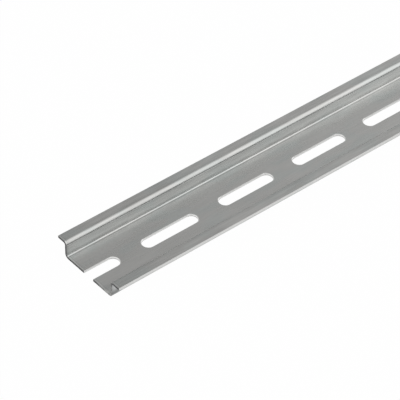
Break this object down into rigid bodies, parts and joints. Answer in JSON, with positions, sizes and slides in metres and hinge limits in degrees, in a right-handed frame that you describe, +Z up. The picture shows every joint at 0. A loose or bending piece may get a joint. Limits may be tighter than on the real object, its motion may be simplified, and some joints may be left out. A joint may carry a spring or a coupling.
{
  "type": "din rail",
  "caption": "Perforated top-hat mounting rail: a plated steel strip rolled to a shallow channel with outward flanges, long slots along its web, and an end cut through a slot.",
  "frame": {"origin": "middle of the rail's length and width, on its back face, which lies on the floor", "axes": "+X along the rail, away from the end that is cut through a slot; +Y across it; +Z up, out of the channel"},
  "size_m": [0.5, 0.035, 0.0075],
  "materials": {
    "zinc_steel": "bright zinc plate, satin, with faint rolling lines"
  },
  "bodies": {
    "root": {"top_hat_rail": "zinc_steel"}
  },
  "joints": []
}
